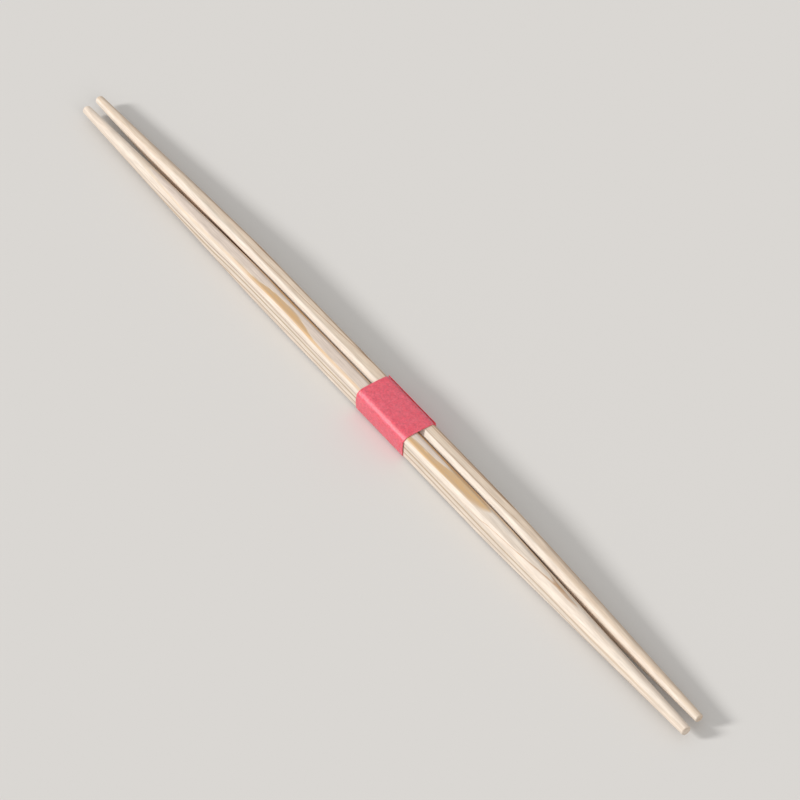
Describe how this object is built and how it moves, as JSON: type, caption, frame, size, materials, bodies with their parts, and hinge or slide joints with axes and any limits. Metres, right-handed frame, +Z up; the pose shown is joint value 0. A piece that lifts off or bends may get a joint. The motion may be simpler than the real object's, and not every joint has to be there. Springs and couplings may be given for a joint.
{
  "type": "pair of chopsticks",
  "caption": "Slender cedar chopsticks, flat-sided in the middle with long tapers to small round tips, held side by side by a folded band of coloured paper.",
  "frame": {"origin": "on the surface that the bundle rests on, under the middle of the sticks' length and between the two sticks", "axes": "+X along the sticks, towards the end that the band is nearer; +Y across the pair; +Z up"},
  "size_m": [0.2412, 0.0094, 0.0069],
  "materials": {
    "cedar": "planed and sanded, bare, pale sapwood with tan grain",
    "band_paper": "matt fibrous wrapping paper, pink-red"
  },
  "bodies": {
    "root": {"chopstick_front": "cedar", "chopstick_back": "cedar", "paper_band": "band_paper"}
  },
  "joints": []
}
